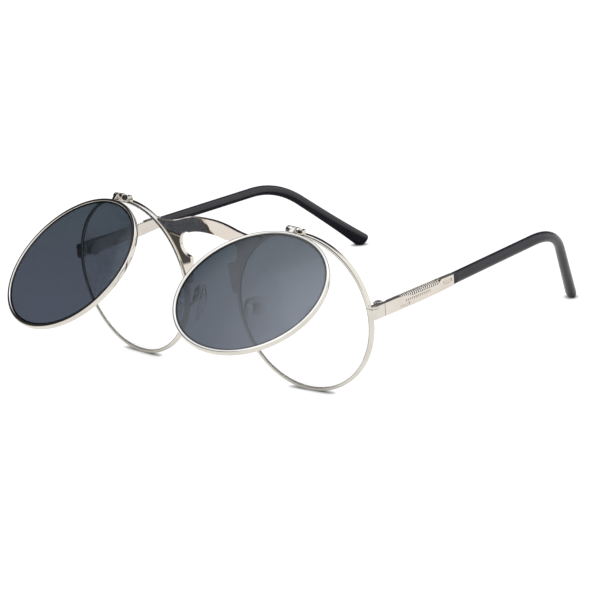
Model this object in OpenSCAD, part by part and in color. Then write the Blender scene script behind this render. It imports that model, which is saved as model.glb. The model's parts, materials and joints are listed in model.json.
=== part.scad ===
// Flip-up sunglasses. Two round clear lenses stand in fixed rims, and a tinted lens in a rim of its own is
// hinged over each. A cut sheet of metal is the bridge. The sides fold on barrel hinges, and a coil spring
// lies in a tray in each bar. The pieces are drawn for the side at +X and mirrored for the other.
// +X is the wearer's left, -Y is forwards and +Z is up. The glasses stand on the rims and the tips of the
// sides, as they were photographed: sides open, each tinted lens raised by its own angle.

/* [Fixed rims] */
// Outer radius of a fixed rim
rim_r = 26; // [25:0.5:27]
// Distance from the middle of the glasses to the middle of a rim
lens_x = 37; // [36.5:0.5:38]
// Width of the rim wire, seen from the front
wire_w = 1.1; // [1:0.1:1.3]
// Depth of the rim wire, from front to back
wire_d = 1.8; // [1.7:0.1:2]
// Turn of each rim round the face, in degrees
wrap = 5; // [4:0.5:6]
// Forward lean of the whole front, in degrees
tilt = 1.7; // [1:0.1:2.5]

/* [Lenses] */
// Thickness of a clear lens
clear_t = 1.5; // [1.2:0.1:1.6]
// Thickness of a tinted lens
tint_t = 1.2; // [1:0.1:1.4]
// Radius of the lens curve
lens_curve = 180; // [150:10:260]

/* [Flip-ups] */
// Outer radius of a raised rim
flip_r = 25.2; // [24.8:0.1:25.4]
// How far the left tinted lens is raised, in degrees
left_lift = 62; // [0:1:95]
// How far the right tinted lens is raised, in degrees
right_lift = 52; // [0:1:95]
// Height of the flip hinge above the fixed rim
flip_up = 1.35; // [1.35:0.05:1.6]
// Distance of the flip hinge in front of the fixed rim
flip_fwd = 1.6; // [1.5:0.1:2]
// How far the flip hinge sits outwards round the rim, in degrees
flip_turn = 4; // [3:0.5:6]

/* [Bridge] */
// Thickness of the bridge sheet
bridge_t = 1.4; // [1.2:0.1:1.5]
// Height of the top of the bridge above the table
bridge_top = 51.9; // [51.5:0.1:52.5]
// Radius of the two round lobes cut beside the nose
lobe_r = 4.15; // [3.9:0.05:4.3]

/* [Sides] */
// Height of the side's hinge above the table, at its middle
side_z = 29.35; // [29.05:0.1:29.75]
// Length of the metal bar
bar_l = 33; // [31:0.5:35]
// Height of the bar where it is fullest
bar_h = 4.15; // [3.95:0.1:4.25]
// Width of the bar, from its inner to its outer face
bar_w = 2; // [1.95:0.05:2.1]
// Number of turns in each coil spring
spring_turns = 20; // [12:1:21]
// Diameter of the spring wire
spring_wire = 0.4; // [0.36:0.02:0.42]

/* [Nose pads] */
// Length of a pad
pad_h = 12.6; // [12:0.2:13.4]
// Turn of a pad towards the nose, in degrees
pad_yaw = 52.6; // [48:1:56]
// Lean of a pad's top towards the nose, in degrees
pad_pitch = -16; // [-20:1:-12]

/* [Hidden] */
$fn = 96;

// Place of the front, so that the origin is under the middle of the whole object
front_y = -40.1;
// Room that keeps neighbouring pieces of one body from sharing material
snug = 0.03;
// Room round a pin that turns
run = 0.04;
// Length that carries a cutting shape past the faces it cuts
past = 1;

// Facets round the large sphere that a lens face is cut from
lens_facets = 240;

// Wire: small bevel on its edges, and the groove that holds the lens
wire_bevel = 0.22;
groove = 0.4;

// Height of the rim's middle above the table, with the front leaning
eye_z = rim_r * cos(tilt);
// Place of the flip hinge's axis from the middle of the lens
flip_h = rim_r + flip_up;
knuckle_r = 1.3;
flip_pin_r = 0.5;
// Lengths of the knuckles along the axis, from its inner to its outer end
knuckles = [[-3.8, -1.9], [-1.8, -0.4], [-0.3, 0.6]];
flip_pin_end = 1.5;

// End piece, beside the rim and back to the side's hinge
lug_x = [62.2, 64.65];
lug_y = [1.9, 7.15];
lug_h = 4.1;
lug_corner = 1;
// Closing block on the upper end of the cut rim, seated in a notch of the end piece
block_h = 0.65;
block_back = 4.05;
block_gap = 0.15;
rim_screw_at = [63.65, 2.95];
rim_screw_r = 0.35;

// Side hinge: five barrels on one upright screw
hinge_at = [61.2, 8];
barrel_r = 1.6;
barrel_h = 0.56;
barrel_pitch = 0.64;
barrel_room = 0.15;
side_screw_r = 0.6;
// Front face of the bar, behind the end piece
bar_front = 7.3;
bar_x = 64.65 - bar_w / 2;
// Rise of the bar's rear end, and the share of its height that it loses there
bar_rise = 0.5;
bar_slim = 0.16;
// Tray for the spring: its ends, the height of its axis and of its outer edge above the hinge, its radius
tray_y = [15.3, 34.2];
tray_up = 1.1;
tray_edge = 1.1;
tray_r = 0.85;
rod_r = 0.22;
coil_r = 0.55;
coil_rings = 8;
coil_sides = 6;
// Engraved lines on the bar's outer face: their depth and width
line_deep = 0.22;
line_w = 0.35;
// Tang of the bar inside the tip, and the place of both
tang_r = 0.55;
tang_l = 10;
tip_at = [63.25, 29.7];

// Side tips: corner of the bend and end of the middle line, each bent by hand for its ear
left_bend = [62.6, 94, 31.5];
left_end = [48.3, 118.2, 0.8];
right_bend = [60.4, 94.9, 28.8];
right_end = [51.5, 128.2, 0.8];
// Widths of a tip at its start, at the bend and near its end, and the way its thin side faces
tip_wide = [3.7, 3.55, 5.7];
tip_thick = [2.9, 3.05, 3.5];
tip_thin_way = [0.64, 0.69, 0.35];
tip_round = 1.7;
bend_round = 12;
tip_sides = 16;

// Nose pad: middle, and the box and screw behind it
pad_at = [12.2, 5.6, 19];
pad_w = 7.4;
pad_t = 2.2;
pad_axle = [-2.2, 2.4];
pad_screw_r = 0.38;
box_size = [2.6, 1.75, 3.2];
box_back = 1.1;
arm_r = 0.45;
arm_foot = 13.5;
arm_mid = [10.6, 2.9, 23.9];

// Helpers for places and directions
function turn_x(p, a) = [p.x, p.y * cos(a) - p.z * sin(a), p.y * sin(a) + p.z * cos(a)];
function turn_z(p, a) = [p.x * cos(a) - p.y * sin(a), p.x * sin(a) + p.y * cos(a), p.z];
function unit(v) = v / norm(v);
function lens_to_world(p) = turn_z(turn_x(p, tilt), wrap) + [lens_x, front_y, eye_z];
function pad_to_world(p) = turn_z(turn_x(p, pad_pitch), pad_yaw) + pad_at + [0, front_y, 0];

// Frame of a rim: its middle, front face at y = 0, +Y to the back
module at_lens() translate([lens_x, front_y, eye_z]) rotate([tilt, 0, wrap]) children();

// Frame of a flip hinge: +X along the pin, outwards
module at_flip() at_lens() translate([flip_h * sin(flip_turn), -flip_fwd, flip_h * cos(flip_turn)])
  rotate([0, flip_turn, 0]) children();

// Frame of a raised rim: as at_lens, turned up about the hinge
module at_raised(lift) at_flip() rotate([-lift, 0, 0]) translate([0, -wire_d, -flip_h]) children();

// Frame of a nose pad: +Y towards the nose, +Z along its length
module at_pad() translate(pad_at + [0, front_y, 0]) rotate([pad_pitch, 0, pad_yaw]) children();

// Frame of a side hinge: +Z along its screw
module at_side_hinge() translate([hinge_at.x, front_y + hinge_at.y, side_z]) children();

// One side as drawn, the other as its mirror image
module on_side(s) {
  if (s < 0) mirror([1, 0, 0]) children();
  else children();
}

// A body of revolution about the rim's axis, which runs from front to back
module about_axis() rotate([-90, 0, 0]) rotate_extrude() children();

// Section of the rim wire, with its groove
module wire_section(r) {
  inner = r - wire_w;
  mid = wire_d / 2;
  polygon([
    [inner + wire_bevel, 0], [r - wire_bevel, 0], [r, wire_bevel], [r, wire_d - wire_bevel],
    [r - wire_bevel, wire_d], [inner + wire_bevel, wire_d], [inner, wire_d - wire_bevel],
    [inner, mid + groove], [inner + groove, mid], [inner, mid - groove], [inner, wire_bevel]
  ]);
}

// A curved lens whose edge is bevelled to sit in the groove
module lens_blank(r, t) {
  edge = r - wire_w - snug;
  mid = wire_d / 2;
  bevel = groove - snug;
  reach = 8;
  rise = sqrt(lens_curve * lens_curve - edge * edge);
  intersection() {
    translate([0, mid + rise, 0]) difference() {
      sphere(r = lens_curve + t / 2, $fn = lens_facets);
      sphere(r = lens_curve - t / 2, $fn = lens_facets);
    }
    about_axis() polygon([
      [0, mid - reach], [edge, mid - reach], [edge, mid - bevel], [edge + bevel, mid],
      [edge, mid + bevel], [edge, mid + reach], [0, mid + reach]
    ]);
  }
}

// Everything inside the outer face of a fixed rim, to seat what is soldered to it
module rim_room() at_lens() rotate([-90, 0, 0]) translate([0, 0, -20]) cylinder(r = rim_r, h = 40);

// Outline of the end piece from above, with its outer front corner rounded
module lug_plan() {
  lug_w = lug_x[1] - lug_x[0];
  lug_l = lug_y[1] - lug_y[0];
  translate([lug_x[0], front_y + lug_y[0]]) {
    translate([0, lug_corner]) square([lug_w, lug_l - lug_corner]);
    square([lug_w - lug_corner, lug_corner + snug]);
    translate([lug_w - lug_corner, lug_corner]) circle(r = lug_corner);
  }
}

// Space of the closing block at the top front of the end piece, grown by a gap
module block_space(gap) {
  bottom = side_z + lug_h / 2 - block_h - gap;
  translate([lug_x[0] - past, front_y + lug_y[0] - past, bottom])
    cube([lug_x[1] - lug_x[0] + 2 * past, block_back - lug_y[0] + past + gap, block_h + gap + past]);
}

// Fixed rim, cut through beside the end piece, with the closing block on its upper end
module rim() color("silver") {
  cut_z = side_z + lug_h / 2 - block_h - block_gap;
  difference() {
    at_lens() about_axis() wire_section(rim_r);
    translate([lens_x + rim_r / 2, front_y - past, cut_z]) cube([rim_r, 8, block_gap]);
  }
  difference() {
    intersection() {
      translate([0, 0, side_z - lug_h / 2]) linear_extrude(lug_h) lug_plan();
      block_space(0);
    }
    rim_room();
    translate([rim_screw_at.x, front_y + rim_screw_at.y, 0]) cylinder(r = rim_screw_r + run, h = 60);
  }
}

module clear_lens() color("aliceblue", 0.4) at_lens() lens_blank(rim_r, clear_t);

// End piece with its three hinge barrels
module end_piece() color("silver") difference() {
  union() {
    difference() {
      translate([0, 0, side_z - lug_h / 2]) linear_extrude(lug_h) lug_plan();
      rim_room();
      block_space(block_gap);
      at_side_hinge() cylinder(r = barrel_r + barrel_room, h = 2 * lug_h, center = true);
    }
    at_side_hinge() for (i = [-2, 0, 2]) translate([0, 0, i * barrel_pitch - barrel_h / 2]) {
      cylinder(r = barrel_r, h = barrel_h);
      translate([0, -barrel_r, 0])
        cube([lug_x[0] - hinge_at.x + 0.6, lug_y[1] - hinge_at.y + barrel_r, barrel_h]);
    }
  }
  at_side_hinge() cylinder(r = side_screw_r + run, h = 20, center = true);
  translate([rim_screw_at.x, front_y + rim_screw_at.y, side_z - lug_h / 2 + 0.6])
    cylinder(r = rim_screw_r + snug, h = 20);
}

// A slotted screw with its head at the top
module slotted_screw(shank_r, shank_l, head_r, head_h) difference() {
  union() {
    translate([0, 0, -shank_l]) cylinder(r = shank_r, h = shank_l + head_h / 2);
    cylinder(r1 = head_r, r2 = head_r - head_h / 3, h = head_h);
  }
  translate([-head_r - past, -0.12, head_h * 0.55]) cube([2 * (head_r + past), 0.24, head_h]);
}

module rim_screw() color("dimgray")
  translate([rim_screw_at.x, front_y + rim_screw_at.y, side_z + lug_h / 2 + snug])
    slotted_screw(rim_screw_r, lug_h - 0.7, 0.68, 0.3);

module side_screw() color("gray")
  translate([hinge_at.x, front_y + hinge_at.y, side_z + 2 * barrel_pitch + barrel_h / 2 + snug])
    slotted_screw(side_screw_r, 4 * barrel_pitch + barrel_h, 1.25, 0.34);

// Bridge outline from the front, one half: a crest and a hollow of one radius, less the opening for the nose
module bridge_half() {
  swing = 31.25;
  span = 22;
  leg_end = 28.3;
  difference() {
    intersection() {
      translate([0, leg_end]) square([span + 3, bridge_top - leg_end]);
      union() {
        intersection() {
          translate([0, bridge_top - swing]) circle(r = swing);
          translate([0, leg_end]) square([span / 2, bridge_top]);
        }
        difference() {
          translate([span / 2, leg_end]) square([span / 2 + 3, bridge_top]);
          translate([span, bridge_top - 4 + swing]) circle(r = swing);
        }
      }
    }
    nose_cut_half();
  }
}

// Opening for the nose: a low arch, a round lobe, and the way down between the legs with its spur
module nose_cut_half() {
  lobe = [8.4, 41.8];
  arch = 24.5;
  arch_top = 47.2;
  translate(lobe) circle(r = lobe_r);
  intersection() {
    translate([0, arch_top - arch]) circle(r = arch);
    translate([-past, lobe.y]) square([lobe.x + past, arch_top]);
  }
  polygon([
    [-past, lobe.y + past], [lobe.x, lobe.y + past], [lobe.x, lobe.y - lobe_r + 0.15], [8.1, 37.25],
    [8.05, 36.7], [8.45, 34], [8.7, 31], [9.3, 28.2], [9.4, 27], [-past, 27]
  ]);
}

// Bridge sheet from above: two flat wings in line with the rims, and a bend between them
module bridge_plan() {
  bend = 25;
  wing = 24;
  steps = 5;
  set_back = 0.5;
  centre = (bend + set_back) / cos(wrap) - lens_x * tan(wrap);
  function on_bend(r, a) = [r * sin(a), centre - r * cos(a)];
  function wing_end(r, side) = on_bend(r, side * wrap) + wing * [side * cos(wrap), sin(wrap)];
  front = [for (i = [-steps:steps]) on_bend(bend, wrap * i / steps)];
  back = [for (i = [-steps:steps]) on_bend(bend - bridge_t, -wrap * i / steps)];
  polygon(concat(
    [wing_end(bend, -1)], front, [wing_end(bend, 1), wing_end(bend - bridge_t, 1)], back,
    [wing_end(bend - bridge_t, -1)]
  ));
}

module bridge() color("silver") difference() {
  translate([0, front_y, eye_z]) rotate([tilt, 0, 0]) translate([0, 0, -rim_r]) intersection() {
    translate([0, 10, 0]) rotate([90, 0, 0]) linear_extrude(20) {
      bridge_half();
      mirror([1, 0]) bridge_half();
    }
    linear_extrude(60) bridge_plan();
  }
  for (s = [-1, 1]) on_side(s) rim_room();
}

// Flip hinge, part on the fixed rim: an inner and an outer knuckle on a foot across the wire
module flip_base() color("silver") {
  foot_back = flip_fwd + wire_d - 0.2;
  foot_low = -knuckle_r - 0.4;
  tie_front = knuckle_r + 0.2;
  tie_h = 1;
  difference() {
    at_flip() {
      for (k = [knuckles[0], knuckles[2]]) translate([k[0], 0, 0]) {
        rotate([0, 90, 0]) cylinder(r = knuckle_r, h = k[1] - k[0]);
        translate([0, 0, foot_low]) cube([k[1] - k[0], foot_back, knuckle_r + 0.25]);
      }
      translate([knuckles[0][0], tie_front, foot_low])
        cube([knuckles[2][1] - knuckles[0][0], foot_back - tie_front, tie_h]);
    }
    rim_room();
    at_flip() rotate([0, 90, 0]) cylinder(r = flip_pin_r + run, h = 20, center = true);
  }
}

// Flip hinge, part on the raised rim: the middle knuckle and the arm down to the rim
module flip_leaf(lift) color("silver") {
  k = knuckles[1];
  difference() {
    at_flip() rotate([-lift, 0, 0]) translate([k[0], 0, 0]) {
      rotate([0, 90, 0]) cylinder(r = knuckle_r, h = k[1] - k[0]);
      translate([0, -wire_d + 0.15, -flip_up - 1.6]) cube([k[1] - k[0], wire_d - 0.3, flip_up + 1.6]);
    }
    at_raised(lift) rotate([-90, 0, 0]) translate([0, 0, -10]) cylinder(r = flip_r, h = 20);
    at_flip() rotate([0, 90, 0]) cylinder(r = flip_pin_r + run, h = 20, center = true);
  }
}

// Hinge pin with a head at its inner end and a bare end that stands out
module flip_pin() color("dimgray") at_flip() rotate([0, 90, 0]) {
  translate([0, 0, knuckles[0][0] - 0.5]) cylinder(r = 0.85, h = 0.47);
  translate([0, 0, knuckles[0][0] - 0.2]) cylinder(r = flip_pin_r, h = flip_pin_end - knuckles[0][0]);
}

module flip_rim(lift) color("silver") at_raised(lift) about_axis() wire_section(flip_r);

module tinted_lens(lift) color("slategray", 0.75) at_raised(lift) lens_blank(flip_r, tint_t);

// A tube along a list of points, round where the points bend; sizes gives each ring's half width and height
module tube(points, sizes, sides, across) {
  last = len(points) - 1;
  rings = [
    for (i = [0:last])
      let(
        along = unit(points[min(i + 1, last)] - points[max(i - 1, 0)]),
        side_way = unit(across - along * (across * along)),
        up_way = cross(side_way, along)
      )
      for (k = [0:sides - 1])
        points[i] + side_way * sizes[i].x * cos(360 * k / sides) + up_way * sizes[i].y * sin(360 * k / sides)
  ];
  walls = [
    for (i = [0:last - 1], k = [0:sides - 1])
      let(a = i * sides + k, b = i * sides + (k + 1) % sides)
      each [[a, b, b + sides], [a, b + sides, a + sides]]
  ];
  ends = [[for (k = [sides - 1:-1:0]) k], [for (k = [0:sides - 1]) last * sides + k]];
  polyhedron(rings, concat(walls, ends), convexity = 10);
}

// A smooth curve between two points with a direction at each
function bow(p, u, q, v, t) =
  p * (2 * pow(t, 3) - 3 * pow(t, 2) + 1) + u * (pow(t, 3) - 2 * pow(t, 2) + t)
  + q * (3 * pow(t, 2) - 2 * pow(t, 3)) + v * (pow(t, 3) - pow(t, 2));

// Pad arm: from the back of the rim, up and over in a bow, down into the box
module pad_arm() color("silver") {
  foot_r = rim_r - wire_w / 2;
  foot = lens_to_world([-foot_r * cos(arm_foot), wire_d + 0.05, -foot_r * sin(arm_foot)]);
  foot_way = lens_to_world([0, 1, 0]) - lens_to_world([0, 0, 0]);
  end = pad_to_world([0, pad_axle[0] - 0.5, pad_axle[1] + box_size.z / 2 + 0.05]);
  end_way = pad_to_world([0, 0, 0]) - pad_to_world([0, 0, 1]);
  mid = arm_mid + [0, front_y, 0];
  mid_way = [0.6, 3.4, 5];
  steps = 9;
  line = concat(
    [for (i = [0:steps - 1]) bow(foot, foot_way * 4.5, mid, mid_way, i / steps)],
    [for (i = [0:steps]) bow(mid, mid_way, end, end_way * 5, i / steps)]
  );
  tube(line, [for (p = line) [arm_r, arm_r]], 10, [1, 0, 0]);
}

// Pad box: a small cup, open towards the pad, with a cross hole for the screw
module pad_box() color("silver") at_pad() difference() {
  translate([-box_size.x / 2, pad_axle[0] - box_back, pad_axle[1] - box_size.z / 2]) cube(box_size);
  translate([-0.85, pad_axle[0] - box_back + 0.3, pad_axle[1] - 1.1]) cube([1.7, 3, 2.2]);
  translate([0, pad_axle[0], pad_axle[1]]) rotate([0, 90, 0]) cylinder(r = pad_screw_r + snug, h = 6, center = true);
}

module pad_screw() color("gray") at_pad() translate([box_size.x / 2 + snug, pad_axle[0], pad_axle[1]])
  rotate([0, 90, 0]) slotted_screw(pad_screw_r, box_size.x, 0.62, 0.28);

// Outline of a pad: a large round below, a small round above, and the flanks that join them
module pad_plan() {
  big = pad_w / 2;
  small = pad_w / 3;
  low = -pad_h / 2 + big;
  high = pad_h / 2 - small;
  lean = asin((big - small) / (high - low));
  translate([0, low]) circle(r = big);
  translate([0, high]) circle(r = small);
  polygon([
    [-big * cos(lean), low + big * sin(lean)], [big * cos(lean), low + big * sin(lean)],
    [small * cos(lean), high + small * sin(lean)], [-small * cos(lean), high + small * sin(lean)]
  ]);
}

// Nose pad: crowned towards the nose, with the stem that turns on the screw
module nose_pad() color("lavender", 0.6) at_pad() {
  crown = 14;
  stem_r = 0.62;
  difference() {
    union() {
      intersection() {
        translate([0, pad_t / 2, 0]) rotate([90, 0, 0]) linear_extrude(pad_t) pad_plan();
        translate([0, pad_t / 2 - crown, 0]) sphere(r = crown);
      }
      translate([-0.7, 0, pad_axle[1]]) {
        translate([0, pad_axle[0], -0.5]) cube([1.4, -pad_axle[0], 1]);
        translate([0, pad_axle[0], 0]) rotate([0, 90, 0]) cylinder(r = stem_r, h = 1.4);
      }
    }
    translate([0, pad_axle[0], pad_axle[1]]) rotate([0, 90, 0]) cylinder(r = pad_screw_r + run, h = 6, center = true);
  }
}

// Bar outline from the side: flush with the end piece in front, fullest before its middle, slimmer and
// higher at the rear
module bar_outline() {
  steps = 10;
  function middle(t) = bar_rise * t * t;
  function half_at(t) = bar_h / 2 * (1 - bar_slim * pow(max(0, t - 0.4) / 0.6, 2) - 0.1 * pow(max(0, 0.4 - t), 2));
  polygon(concat(
    [for (i = [0:steps]) [bar_l * i / steps, middle(i / steps) - half_at(i / steps)]],
    [for (i = [steps:-1:0]) [bar_l * i / steps, middle(i / steps) + half_at(i / steps)]]
  ));
}

// Side bar: hinge pocket and two barrels in front, the open tray for the spring, and the tang behind
module side_bar() color("silver") {
  front = front_y + bar_front;
  tray_l = tray_y[1] - tray_y[0];
  pocket_x = hinge_at.x + barrel_r + 0.2;
  difference() {
    union() {
      difference() {
        translate([bar_x - bar_w / 2, front, side_z]) rotate([90, 0, 90]) linear_extrude(bar_w) bar_outline();
        translate([pocket_x - bar_w, front - past, side_z - bar_h])
          cube([bar_w, hinge_at.y - bar_front + barrel_r + 0.25 + past, 2 * bar_h]);
        translate([bar_x, front_y + tray_y[0], side_z + tray_up]) spring_tray(tray_l);
        translate([bar_x + bar_w / 2, front_y, side_z]) bar_engraving();
      }
      at_side_hinge() for (i = [-1, 1]) translate([0, 0, i * barrel_pitch - barrel_h / 2]) {
        cylinder(r = barrel_r, h = barrel_h);
        translate([-0.4, 0.9, 0]) cube([2.6, barrel_r + 1 - 0.9, barrel_h]);
      }
      translate([tip_at.x, front + bar_l - snug, tip_at.y]) rotate([-90, 0, 0]) cylinder(r = tang_r, h = tang_l);
    }
    at_side_hinge() cylinder(r = side_screw_r + run, h = 20, center = true);
    translate([bar_x, front_y + tray_y[0] - 1.2, side_z + tray_up]) rotate([-90, 0, 0])
      cylinder(r = rod_r + snug, h = tray_l + 2.4);
  }
}

// Space of the tray: a round bed, open at the top and outwards, with a long slope at its front end
module spring_tray(length) {
  top = 3;
  slope = [5.5, 1.4];
  steps = 6;
  edge = tray_edge - tray_up;
  function ease(t) = (1 - cos(180 * t)) / 2;
  rotate([-90, 0, 0]) cylinder(r = tray_r, h = length);
  translate([-tray_r, 0, 0]) cube([2 * tray_r, length, top]);
  rotate([90, 0, 90]) linear_extrude(bar_w) polygon(concat(
    [[0, top]],
    [for (i = [0:steps]) [slope[0] * i / steps, edge + 0.9 * (1 - ease(i / steps))]],
    [for (i = [steps:-1:0]) [length - slope[1] * i / steps, edge + 0.9 * (1 - ease(i / steps))]],
    [[length, top]]
  ));
}

// Engraving on the outer face, origin at the hinge's height: a row of flutes under the tray and two frames
module bar_engraving() {
  flutes = 13;
  flute_from = [17, -0.35];
  flute_h = 0.85;
  flute_pitch = 0.95;
  for (i = [0:flutes - 1])
    translate([-line_deep, flute_from.x + i * flute_pitch, flute_from.y]) cube([1, line_w + 0.1, flute_h]);
  engraved_frame([14.4, -1.5], [4.4, 0.9]);
  engraved_frame([35.2, 0.3], [4, 1.1]);
}

module engraved_frame(corner, size) difference() {
  translate([-line_deep, corner.x, corner.y]) cube([1, size.x, size.y]);
  translate([-1, corner.x + line_w, corner.y + line_w]) cube([3, size.x - 2 * line_w, size.y - 2 * line_w]);
}

// Middle line of the coil spring
coil_l = tray_y[1] - tray_y[0] - spring_wire - 0.2;
coil_points = [
  for (i = [0:spring_turns * coil_rings])
    let(a = 360 * i / coil_rings)
    [coil_r * cos(a), coil_l * i / (spring_turns * coil_rings), coil_r * sin(a)]
];
coil_gap = min([
  for (i = [0:coil_rings], j = [i + coil_rings - 2:i + coil_rings + 2])
    norm(coil_points[j] - coil_points[i]) - spring_wire
]);
echo(least_gap_between_spring_turns = coil_gap);

// Coil spring: one wire, lying round its rod in the tray
module spring() color("gainsboro")
  translate([bar_x, front_y + tray_y[0] + spring_wire / 2 + 0.1, side_z + tray_up])
    tube(coil_points, [for (p = coil_points) [spring_wire / 2, spring_wire / 2]], coil_sides, [0, 1, 0]);

module spring_rod() color("gray")
  translate([bar_x, front_y + tray_y[0] - 1.15, side_z + tray_up]) rotate([-90, 0, 0])
    cylinder(r = rod_r, h = tray_y[1] - tray_y[0] + 2.3);

// Middle line of a side tip: straight, round the bend, straight to the end
function tip_line(bend, end) =
  let(
    start = [tip_at.x, bar_front + bar_l + snug, tip_at.y],
    into = bend + unit(start - bend) * bend_round,
    out_of = bend + unit(end - bend) * bend_round,
    bend_steps = 10,
    drop_steps = 6,
    cap_steps = 6,
    cap = end + unit(bend - end) * tip_round
  )
  concat(
    [for (i = [0:2]) start + (into - start) * i / 3],
    [for (i = [0:bend_steps])
      let(t = i / bend_steps) into * pow(1 - t, 2) + bend * 2 * t * (1 - t) + out_of * pow(t, 2)],
    [for (i = [1:drop_steps]) out_of + (cap - out_of) * i / drop_steps],
    [for (i = [1:cap_steps]) cap + (end - cap) * sin(90 * i / cap_steps)]
  );

// Half thickness and half width of a tip: even to the bend, then a paddle with a rounded end
function tip_sizes(line, bend, end) = [
  for (p = line)
    let(
      early = max(0, min(1, (p.y - bar_front - bar_l) / (bend.y - bar_front - bar_l))),
      drop = max(0, min(1, (bend.z - p.z) / (bend.z - end.z))),
      left_over = norm(end - p),
      cap = left_over < tip_round ? pow(max(0.004, 1 - pow(1 - left_over / tip_round, 3)), 1 / 3) : 1,
      spread = pow(drop, 3.2),
      thick = tip_thick[0] + (tip_thick[1] - tip_thick[0]) * early + (tip_thick[2] - tip_thick[1]) * drop,
      wide = tip_wide[0] + (tip_wide[1] - tip_wide[0]) * early + (tip_wide[2] - tip_wide[1]) * spread
    )
    [thick, wide] * cap / 2
];

// Side tip: the sleeve over the tang, with a small flat where it stands
module side_tip(bend, end) color("#2c2c2e") {
  line = tip_line(bend, end);
  difference() {
    translate([0, front_y, 0]) tube(line, tip_sizes(line, bend, end), tip_sides, tip_thin_way);
    translate([tip_at.x, front_y + bar_front + bar_l - past, tip_at.y]) rotate([-90, 0, 0])
      cylinder(r = tang_r + snug, h = tang_l + past + 0.2);
    translate([0, front_y + 100, -10]) cube([80, 60, 10]);
  }
}

on_side(1) rim();  // left_rim
on_side(-1) rim();  // right_rim
on_side(1) clear_lens();  // left_clear_lens
on_side(-1) clear_lens();  // right_clear_lens
bridge();
on_side(1) end_piece();  // left_end_piece
on_side(-1) end_piece();  // right_end_piece
on_side(1) rim_screw();  // left_rim_screw
on_side(-1) rim_screw();  // right_rim_screw
on_side(1) pad_arm();  // left_pad_arm
on_side(-1) pad_arm();  // right_pad_arm
on_side(1) pad_box();  // left_pad_box
on_side(-1) pad_box();  // right_pad_box
on_side(1) pad_screw();  // left_pad_screw
on_side(-1) pad_screw();  // right_pad_screw
on_side(1) nose_pad();  // left_nose_pad
on_side(-1) nose_pad();  // right_nose_pad
on_side(1) flip_base();  // left_flip_base
on_side(-1) flip_base();  // right_flip_base
on_side(1) flip_pin();  // left_flip_pin
on_side(-1) flip_pin();  // right_flip_pin
on_side(1) flip_rim(left_lift);  // left_flip_rim
on_side(-1) flip_rim(right_lift);  // right_flip_rim
on_side(1) flip_leaf(left_lift);  // left_flip_leaf
on_side(-1) flip_leaf(right_lift);  // right_flip_leaf
on_side(1) tinted_lens(left_lift);  // left_tinted_lens
on_side(-1) tinted_lens(right_lift);  // right_tinted_lens
on_side(1) side_bar();  // left_side_bar
on_side(-1) side_bar();  // right_side_bar
on_side(1) side_screw();  // left_side_screw
on_side(-1) side_screw();  // right_side_screw
on_side(1) spring();  // left_spring
on_side(-1) spring();  // right_spring
on_side(1) spring_rod();  // left_spring_rod
on_side(-1) spring_rod();  // right_spring_rod
on_side(1) side_tip(left_bend, left_end);  // left_side_tip
on_side(-1) side_tip(right_bend, right_end);  // right_side_tip
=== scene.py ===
"""Dresses a pair of round flip-up glasses: polished wire, clear and tinted lenses, open springs, black tips.

Lengths in the classes are in millimetres, as a maker would write them, and become metres where a mesh
is made. +X is the wearer's left, -Y is forwards and +Z is up.
"""
from __future__ import annotations

import json
import logging
import math
from dataclasses import dataclass, field
from enum import Enum
from typing import Callable, Sequence

import bmesh
import bpy
from mathutils import Matrix, Vector

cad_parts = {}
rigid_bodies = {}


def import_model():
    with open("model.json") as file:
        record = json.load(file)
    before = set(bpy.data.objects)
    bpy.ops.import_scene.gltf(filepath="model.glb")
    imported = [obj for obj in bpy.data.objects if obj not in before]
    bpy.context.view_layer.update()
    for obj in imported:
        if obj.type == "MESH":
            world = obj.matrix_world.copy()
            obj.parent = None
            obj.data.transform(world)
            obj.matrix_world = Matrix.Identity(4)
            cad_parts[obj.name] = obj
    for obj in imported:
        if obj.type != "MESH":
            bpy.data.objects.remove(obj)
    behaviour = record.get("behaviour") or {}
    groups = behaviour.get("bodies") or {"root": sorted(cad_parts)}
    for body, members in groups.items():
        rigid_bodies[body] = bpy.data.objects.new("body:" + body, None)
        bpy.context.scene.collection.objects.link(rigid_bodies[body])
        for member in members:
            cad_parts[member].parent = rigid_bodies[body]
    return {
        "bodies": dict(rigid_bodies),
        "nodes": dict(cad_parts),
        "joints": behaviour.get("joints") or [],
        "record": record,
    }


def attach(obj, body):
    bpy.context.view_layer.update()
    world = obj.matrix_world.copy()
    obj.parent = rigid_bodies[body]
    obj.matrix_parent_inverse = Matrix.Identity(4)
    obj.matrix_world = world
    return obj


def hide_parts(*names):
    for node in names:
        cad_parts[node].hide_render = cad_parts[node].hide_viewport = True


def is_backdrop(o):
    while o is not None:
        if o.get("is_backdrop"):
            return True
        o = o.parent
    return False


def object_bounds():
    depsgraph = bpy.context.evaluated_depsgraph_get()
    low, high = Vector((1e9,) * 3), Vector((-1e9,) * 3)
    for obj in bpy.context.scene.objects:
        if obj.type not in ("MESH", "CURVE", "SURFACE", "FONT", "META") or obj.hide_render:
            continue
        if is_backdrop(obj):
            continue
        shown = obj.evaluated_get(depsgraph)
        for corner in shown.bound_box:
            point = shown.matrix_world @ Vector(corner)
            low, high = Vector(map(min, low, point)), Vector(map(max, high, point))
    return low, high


MM = 0.001
LOG = logging.getLogger("glasses")
# Points nearer than this are one point, in metres: of a drawn mesh, and of a solid's copy
DRAWN_WELD = 1e-7
SOLID_WELD = 2e-6
# Triangles of a solid that turn less than this are one flat face, and edges that turn more than
# this are sharp, in degrees
FLAT = 0.4
SHARP = 34

Material = bpy.types.Material
Socket = bpy.types.NodeSocket


class Side(Enum):
    """The wearer's two sides, with the sign of X."""

    LEFT = 1
    RIGHT = -1

    def node(self, part: str) -> str:
        """The name of this side's piece."""
        return f"{self.name.lower()}_{part}"


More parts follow.
